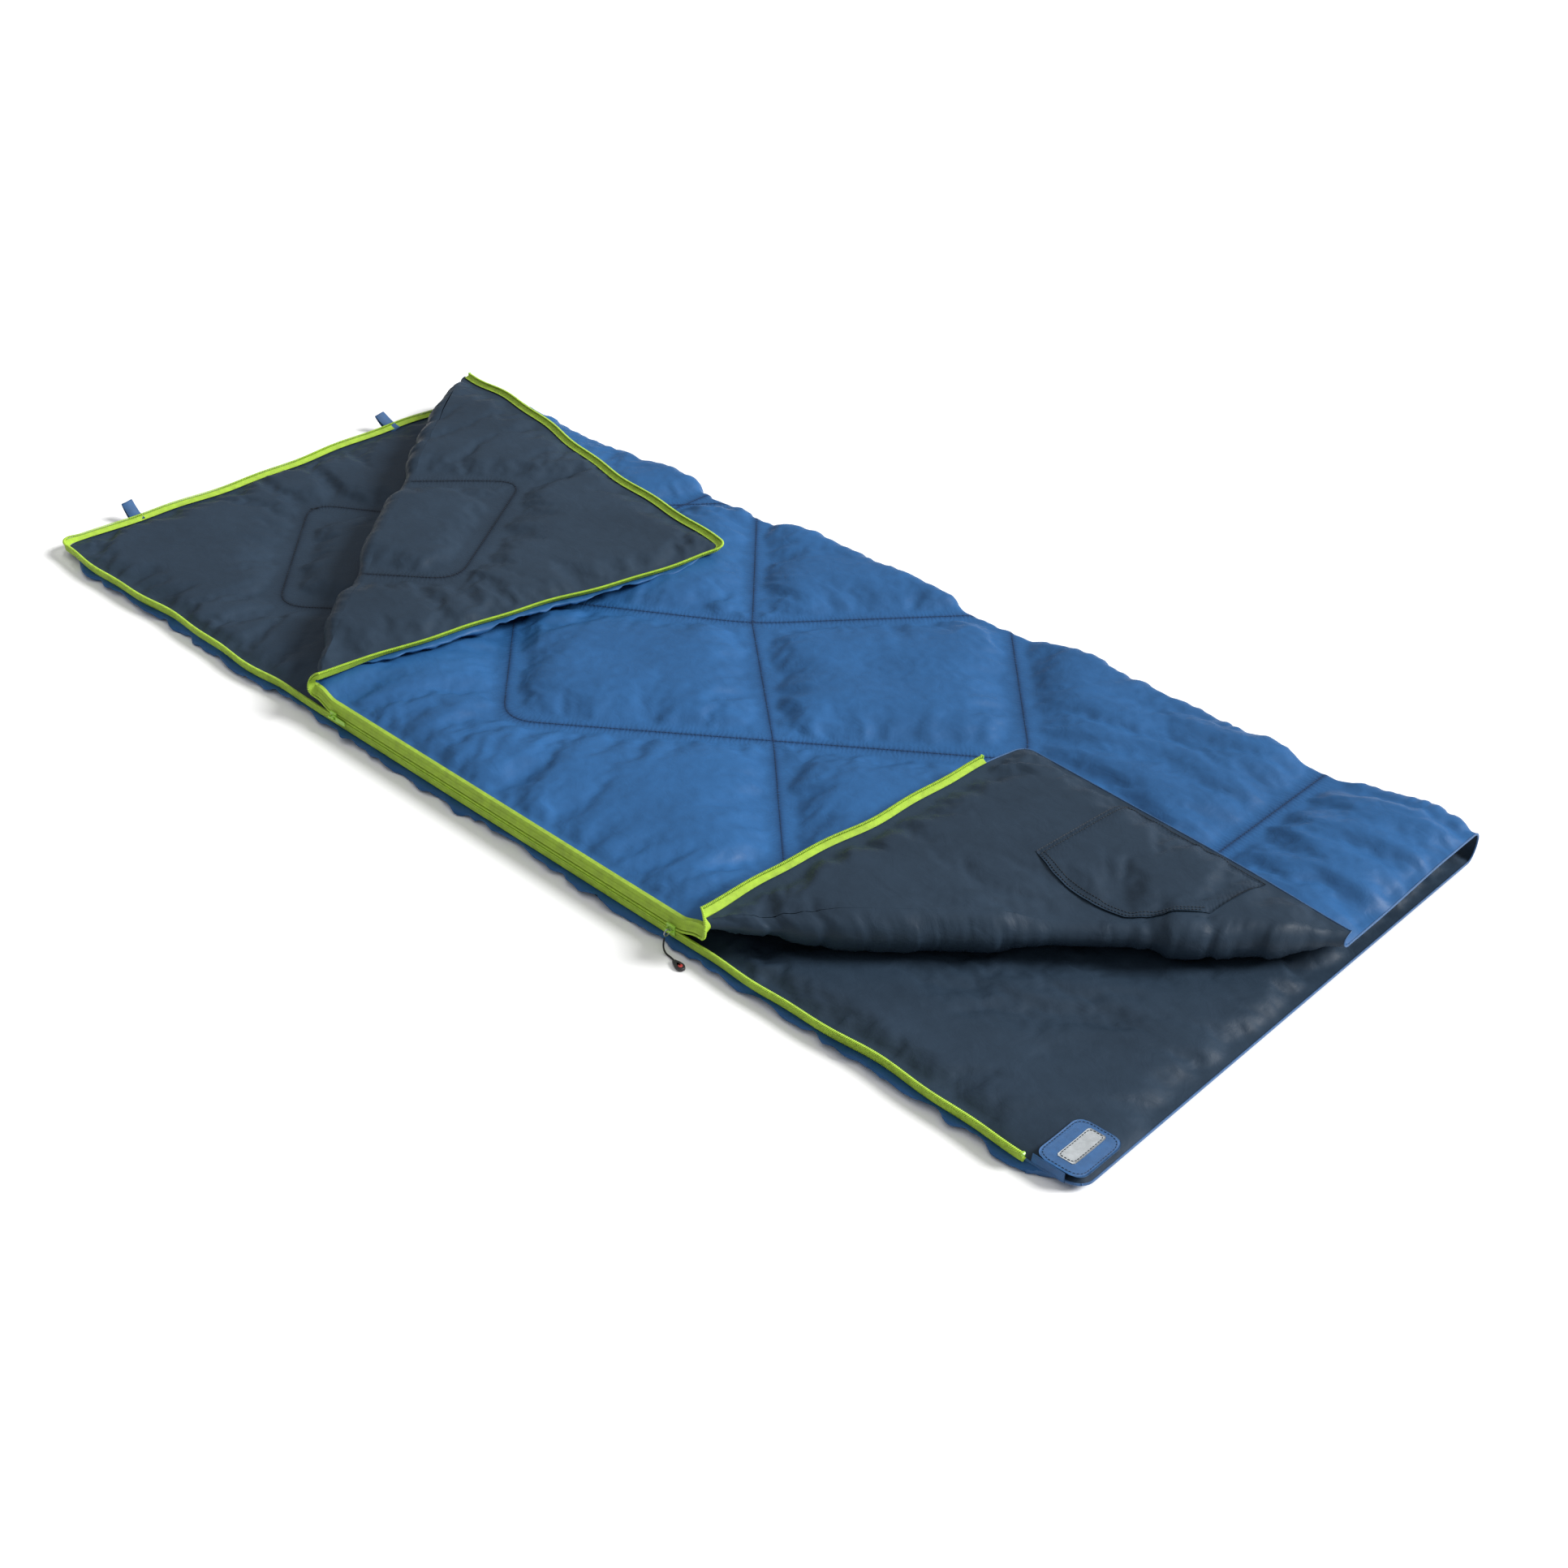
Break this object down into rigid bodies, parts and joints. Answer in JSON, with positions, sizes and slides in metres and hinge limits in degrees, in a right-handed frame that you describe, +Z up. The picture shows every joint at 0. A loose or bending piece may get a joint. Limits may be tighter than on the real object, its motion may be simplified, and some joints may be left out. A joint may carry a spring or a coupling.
{
  "type": "rectangular sleeping bag",
  "caption": "Quilted rectangular sleeping bag with a two-way zip along the side and foot, spread out with its foot and head corners folded back.",
  "frame": {"origin": "on the ground under the middle of the bag, midway between the hanging loops and the head edge and between the zip pull ring and the folded side", "axes": "+X from the foot to the head, +Y from the zip side to the folded side, +Z up"},
  "size_m": [1.934, 0.8351, 0.0814],
  "materials": {
    "shell_cloth": "satin",
    "lining_cloth": "satin",
    "fibre_fill": "matte",
    "zip_tape": "matte",
    "zip_coil": "satin",
    "slider_paint": "satin",
    "steel": "satin",
    "hook_cloth": "matte",
    "label_patch": "matte",
    "cord": "matte",
    "grip": "satin",
    "grip_inset": "satin"
  },
  "bodies": {
    "bag": {"bottom_shell": "shell_cloth", "bottom_fill": "fibre_fill", "bottom_lining": "lining_cloth", "side_fold_shell": "shell_cloth", "side_fold_fill": "fibre_fill", "side_fold_lining": "lining_cloth", "top_shell": "shell_cloth", "top_fill": "fibre_fill", "top_lining": "lining_cloth", "foot_crease_shell": "shell_cloth", "foot_crease_fill": "fibre_fill", "foot_crease_lining": "lining_cloth", "head_crease_shell": "shell_cloth", "head_crease_fill": "fibre_fill", "head_crease_lining": "lining_cloth", "zip_tape_bottom": "zip_tape", "zip_coil_bottom": "zip_coil", "zip_stop_bottom_head": "steel", "zip_stop_bottom_foot": "steel", "zip_tape_top": "zip_tape", "zip_coil_top": "zip_coil", "hanging_loop_far": "shell_cloth", "hanging_loop_near": "shell_cloth", "tab_anchor": "shell_cloth"},
    "foot_flap": {"foot_flap_shell": "shell_cloth", "foot_flap_fill": "fibre_fill", "foot_flap_lining": "lining_cloth", "zip_tape_foot_flap": "zip_tape", "zip_coil_foot_flap": "zip_coil", "zip_stop_foot_flap": "steel", "zip_tape_tail": "zip_tape"},
    "head_flap": {"head_flap_shell": "shell_cloth", "head_flap_fill": "fibre_fill", "head_flap_lining": "lining_cloth", "zip_tape_head_flap": "zip_tape", "zip_coil_head_flap": "zip_coil", "zip_stop_head_flap": "steel", "inner_pocket": "lining_cloth", "tab_loop_patch": "hook_cloth"},
    "foot_slider": {"foot_slider_body": "slider_paint", "foot_slider_bail": "slider_paint"},
    "foot_pull": {"foot_pull_tab": "slider_paint"},
    "head_slider": {"head_slider_body": "slider_paint", "head_slider_bail": "slider_paint"},
    "head_pull": {"head_pull_ring": "steel", "pull_cord": "cord", "pull_grip": "grip", "pull_grip_inset": "grip_inset"},
    "corner_tab": {"tab_strap": "shell_cloth", "tab_hook_patch": "hook_cloth", "tab_label": "label_patch"}
  },
  "joints": [
    {"name": "foot_flap_fold", "type": "hinge", "parent": "bag", "child": "foot_flap", "pos_m": [-0.28, -0.39002, 0.053], "axis": [0.6439, -0.7651, 0], "range_deg": [0, 179.5], "deforming": ["foot_crease_shell", "foot_crease_fill", "foot_crease_lining"]},
    {"name": "head_flap_fold", "type": "hinge", "parent": "bag", "child": "head_flap", "pos_m": [0.442, -0.39002, 0.053], "axis": [0.7311, 0.6823, 0], "range_deg": [0, 179.5], "deforming": ["head_crease_shell", "head_crease_fill", "head_crease_lining"]},
    {"name": "foot_slider_run", "type": "slide", "parent": "bag", "child": "foot_slider", "axis": [1, 0, 0], "range_m": [0, 0.29]},
    {"name": "foot_pull_swing", "type": "hinge", "parent": "foot_slider", "child": "foot_pull", "pos_m": [-0.23635, -0.40057, 0.024], "axis": [0, 0, -1], "range_deg": [0, 110]},
    {"name": "head_slider_run", "type": "slide", "parent": "bag", "child": "head_slider", "axis": [1, 0, 0], "range_m": [-0.29, 0]},
    {"name": "head_pull_swing", "type": "hinge", "parent": "head_slider", "child": "head_pull", "pos_m": [0.396, -0.40342, 0.024], "axis": [-1, 0, 0], "range_deg": [0, 100]},
    {"name": "corner_tab_fold", "type": "hinge", "parent": "bag", "child": "corner_tab", "pos_m": [0.936, -0.39102, 0.0222], "axis": [1, 0, 0], "range_deg": [0, 178]}
  ]
}
